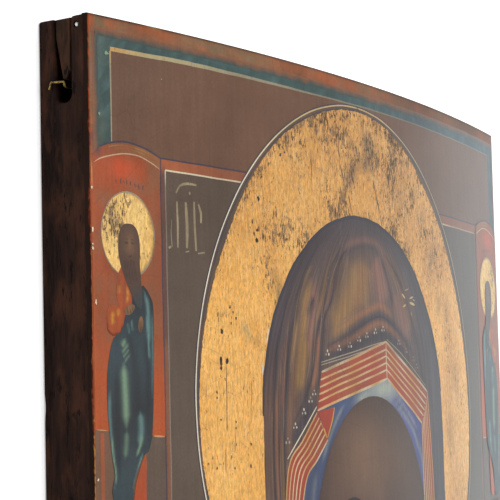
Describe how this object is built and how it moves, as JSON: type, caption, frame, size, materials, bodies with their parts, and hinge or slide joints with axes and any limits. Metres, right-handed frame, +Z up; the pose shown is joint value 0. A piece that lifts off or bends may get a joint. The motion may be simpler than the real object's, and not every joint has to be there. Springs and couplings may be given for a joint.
{
  "type": "painted icon panel",
  "caption": "Old painted wooden icon: a thick crowned panel with battens let into both ends, tempera and worn gold leaf on its face, lying on its back.",
  "frame": {"origin": "on the surface that the panel lies on, at the centre of its bounding box", "axes": "+Y towards the top edge of the picture, +X to the right of someone who looks at the picture upright, +Z up, out of the painted face"},
  "size_m": [0.442, 0.533, 0.048],
  "materials": {
    "aged_wood": "bare wood, blackened by age, handling and soot, worn redder on its arrises",
    "painted_gesso": "egg tempera and worn gold leaf on gesso under an old darkened varnish, half gloss",
    "batten_wood": "bare end grain, dry and dark brown",
    "worn_iron": "iron rubbed bright on the crown of its head",
    "dull_brass": "dull, tarnished wire"
  },
  "bodies": {
    "root": {"board": "aged_wood", "painted_ground": "painted_gesso", "top_end_batten": "batten_wood", "bottom_end_batten": "batten_wood", "edge_nail": "worn_iron", "bent_wire": "dull_brass"}
  },
  "joints": []
}
